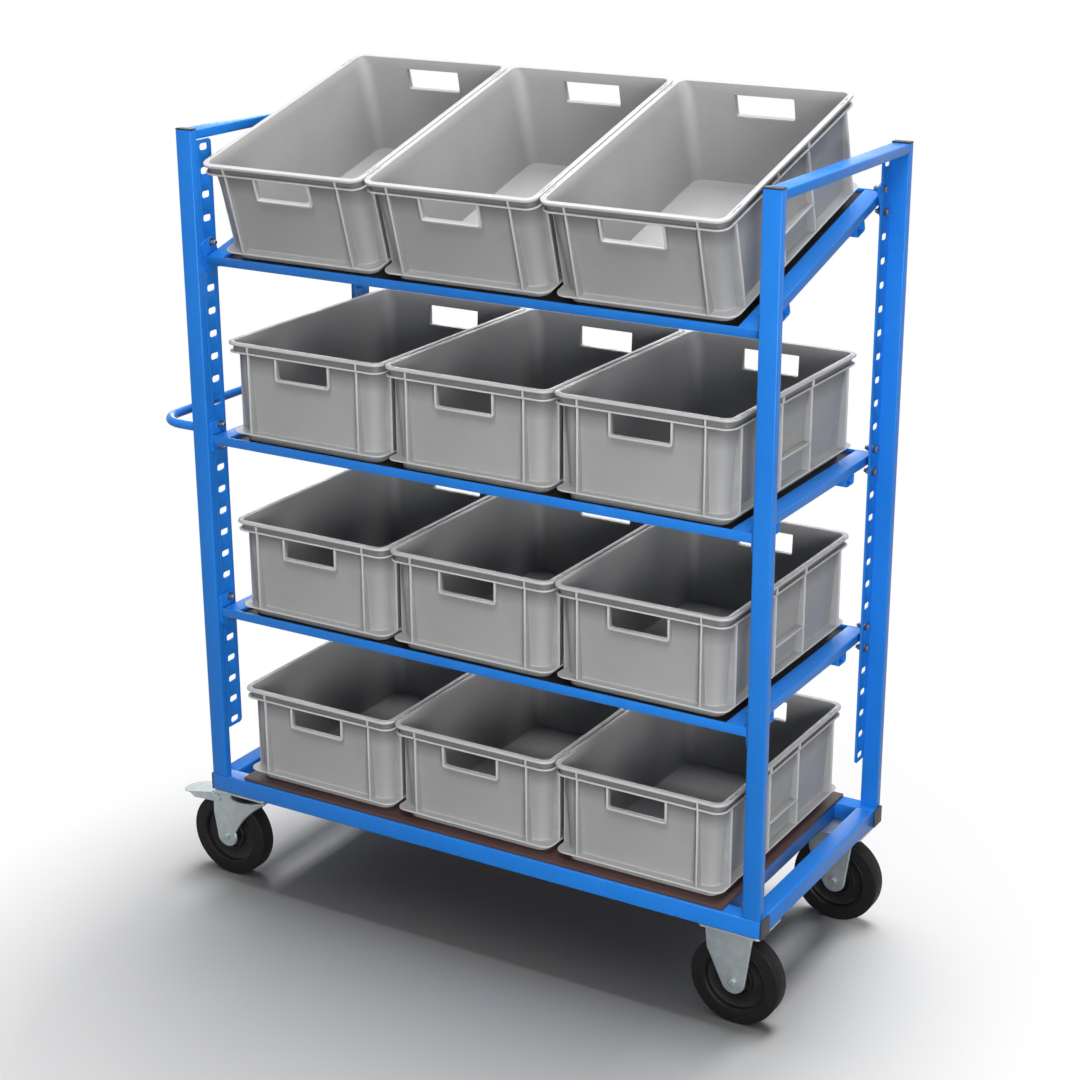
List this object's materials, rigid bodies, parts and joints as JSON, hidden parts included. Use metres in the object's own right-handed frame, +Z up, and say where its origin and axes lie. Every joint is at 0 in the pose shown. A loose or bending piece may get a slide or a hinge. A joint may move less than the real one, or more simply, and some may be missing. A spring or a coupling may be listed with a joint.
{
  "type": "order picking trolley",
  "caption": "Wheeled picking trolley: welded tube frame, deck, two level shelves, one tilted shelf, stacking containers, push handle, braked swivel and fixed castors.",
  "frame": {"origin": "on the floor, under the middle of the overall bounding box", "axes": "+X along the trolley away from the push handle, +Y towards the rear, the high side of the tilted shelf, +Z up"},
  "size_m": [1.544, 0.6608, 1.845],
  "materials": {
    "paint_blue": "powder coated, satin",
    "container_grey": "moulded, matte",
    "cap_black": "moulded",
    "cap_grey": "moulded",
    "board_brown": "film-faced plywood",
    "board_black": "film-faced plywood",
    "zinc_steel": "zinc plated",
    "wheel_rubber": "moulded, matte"
  },
  "bodies": {
    "frame": {"axle_fixed_front": "zinc_steel", "axle_fixed_rear": "zinc_steel", "base_cap_front_left": "cap_grey", "base_cap_front_right": "cap_grey", "base_cap_rear_left": "cap_grey", "base_cap_rear_right": "cap_grey", "base_tube_front": "paint_blue", "base_tube_rear": "paint_blue", "bracket_front": "zinc_steel", "bracket_rear": "zinc_steel", "castor_plate_front": "zinc_steel", "castor_plate_rear": "zinc_steel", "cross_bar_left": "paint_blue", "cross_bar_right": "paint_blue", "deck": "board_brown", "end_rail_left": "paint_blue", "end_rail_right": "paint_blue", "push_handle": "paint_blue", "shelf_board_lower": "board_black", "shelf_board_top": "board_black", "shelf_board_upper": "board_black", "shelf_frame_lower": "paint_blue", "shelf_frame_top": "paint_blue", "shelf_frame_upper": "paint_blue", "strip_front_left": "paint_blue", "strip_front_right": "paint_blue", "strip_rear_left": "paint_blue", "strip_rear_right": "paint_blue", "top_rail_left": "paint_blue", "top_rail_right": "paint_blue", "upright_cap_front_left": "cap_black", "upright_cap_front_right": "cap_black", "upright_cap_rear_left": "cap_black", "upright_cap_rear_right": "cap_black", "upright_front_left": "paint_blue", "upright_front_right": "paint_blue", "upright_rear_left": "paint_blue", "upright_rear_right": "paint_blue"},
    "swivel_front": {"fork_front": "zinc_steel", "axle_swivel_front": "zinc_steel"},
    "brake_front": {"brake_pedal_front": "zinc_steel"},
    "wheel_swivel_front": {"wheel_swivel_front": "wheel_rubber"},
    "wheel_fixed_front": {"wheel_fixed_front": "wheel_rubber"},
    "swivel_rear": {"fork_rear": "zinc_steel", "axle_swivel_rear": "zinc_steel"},
    "brake_rear": {"brake_pedal_rear": "zinc_steel"},
    "wheel_swivel_rear": {"wheel_swivel_rear": "wheel_rubber"},
    "wheel_fixed_rear": {"wheel_fixed_rear": "wheel_rubber"},
    "bin_deck_left": {"bin_deck_left": "container_grey"},
    "bin_deck_middle": {"bin_deck_middle": "container_grey"},
    "bin_deck_right": {"bin_deck_right": "container_grey"},
    "bin_lower_left": {"bin_lower_left": "container_grey"},
    "bin_lower_middle": {"bin_lower_middle": "container_grey"},
    "bin_lower_right": {"bin_lower_right": "container_grey"},
    "bin_top_left": {"bin_top_left": "container_grey"},
    "bin_top_middle": {"bin_top_middle": "container_grey"},
    "bin_top_right": {"bin_top_right": "container_grey"},
    "bin_upper_left": {"bin_upper_left": "container_grey"},
    "bin_upper_middle": {"bin_upper_middle": "container_grey"},
    "bin_upper_right": {"bin_upper_right": "container_grey"}
  },
  "joints": [
    {"name": "swivel_front_turn", "type": "hinge", "parent": "frame", "child": "swivel_front", "pos_m": [-0.575, -0.23162, 0.2174], "axis": [0, 0, 1], "continuous": true},
    {"name": "wheel_swivel_front_spin", "type": "hinge", "parent": "swivel_front", "child": "wheel_swivel_front", "pos_m": [-0.638, -0.23162, 0.1], "axis": [0, 1, 0], "continuous": true},
    {"name": "brake_front_press", "type": "hinge", "parent": "swivel_front", "child": "brake_front", "pos_m": [-0.66, -0.23162, 0.193], "axis": [0, -1, 0], "range_deg": [0, 8], "stiffness_Nm_per_rad": 2},
    {"name": "wheel_fixed_front_spin", "type": "hinge", "parent": "frame", "child": "wheel_fixed_front", "pos_m": [0.672, -0.23162, 0.1], "axis": [0, 1, 0], "continuous": true},
    {"name": "swivel_rear_turn", "type": "hinge", "parent": "frame", "child": "swivel_rear", "pos_m": [-0.575, 0.27437, 0.2174], "axis": [0, 0, 1], "continuous": true},
    {"name": "wheel_swivel_rear_spin", "type": "hinge", "parent": "swivel_rear", "child": "wheel_swivel_rear", "pos_m": [-0.638, 0.27437, 0.1], "axis": [0, 1, 0], "continuous": true},
    {"name": "brake_rear_press", "type": "hinge", "parent": "swivel_rear", "child": "brake_rear", "pos_m": [-0.66, 0.27437, 0.193], "axis": [0, -1, 0], "range_deg": [0, 8], "stiffness_Nm_per_rad": 2},
    {"name": "wheel_fixed_rear_spin", "type": "hinge", "parent": "frame", "child": "wheel_fixed_rear", "pos_m": [0.672, 0.27437, 0.1], "axis": [0, 1, 0], "continuous": true},
    {"name": "bin_deck_left_out", "type": "slide", "parent": "frame", "child": "bin_deck_left", "axis": [0, -1, 0], "range_m": [0, 0.6]},
    {"name": "bin_deck_middle_out", "type": "slide", "parent": "frame", "child": "bin_deck_middle", "axis": [0, -1, 0], "range_m": [0, 0.6]},
    {"name": "bin_deck_right_out", "type": "slide", "parent": "frame", "child": "bin_deck_right", "axis": [0, -1, 0], "range_m": [0, 0.6]},
    {"name": "bin_lower_left_out", "type": "slide", "parent": "frame", "child": "bin_lower_left", "axis": [0, -0.9135, 0.4067], "range_m": [0, 0.32]},
    {"name": "bin_lower_middle_out", "type": "slide", "parent": "frame", "child": "bin_lower_middle", "axis": [0, -0.9135, 0.4067], "range_m": [0, 0.32]},
    {"name": "bin_lower_right_out", "type": "slide", "parent": "frame", "child": "bin_lower_right", "axis": [0, -0.9135, 0.4067], "range_m": [0, 0.32]},
    {"name": "bin_top_left_out", "type": "slide", "parent": "frame", "child": "bin_top_left", "axis": [0, -0.2768, 0.9609], "range_m": [0, 0.3]},
    {"name": "bin_top_middle_out", "type": "slide", "parent": "frame", "child": "bin_top_middle", "axis": [0, -0.2768, 0.9609], "range_m": [0, 0.3]},
    {"name": "bin_top_right_out", "type": "slide", "parent": "frame", "child": "bin_top_right", "axis": [0, -0.2768, 0.9609], "range_m": [0, 0.3]},
    {"name": "bin_upper_left_out", "type": "slide", "parent": "frame", "child": "bin_upper_left", "axis": [0, -0.9135, 0.4067], "range_m": [0, 0.32]},
    {"name": "bin_upper_middle_out", "type": "slide", "parent": "frame", "child": "bin_upper_middle", "axis": [0, -0.9135, 0.4067], "range_m": [0, 0.32]},
    {"name": "bin_upper_right_out", "type": "slide", "parent": "frame", "child": "bin_upper_right", "axis": [0, -0.9135, 0.4067], "range_m": [0, 0.32]}
  ]
}
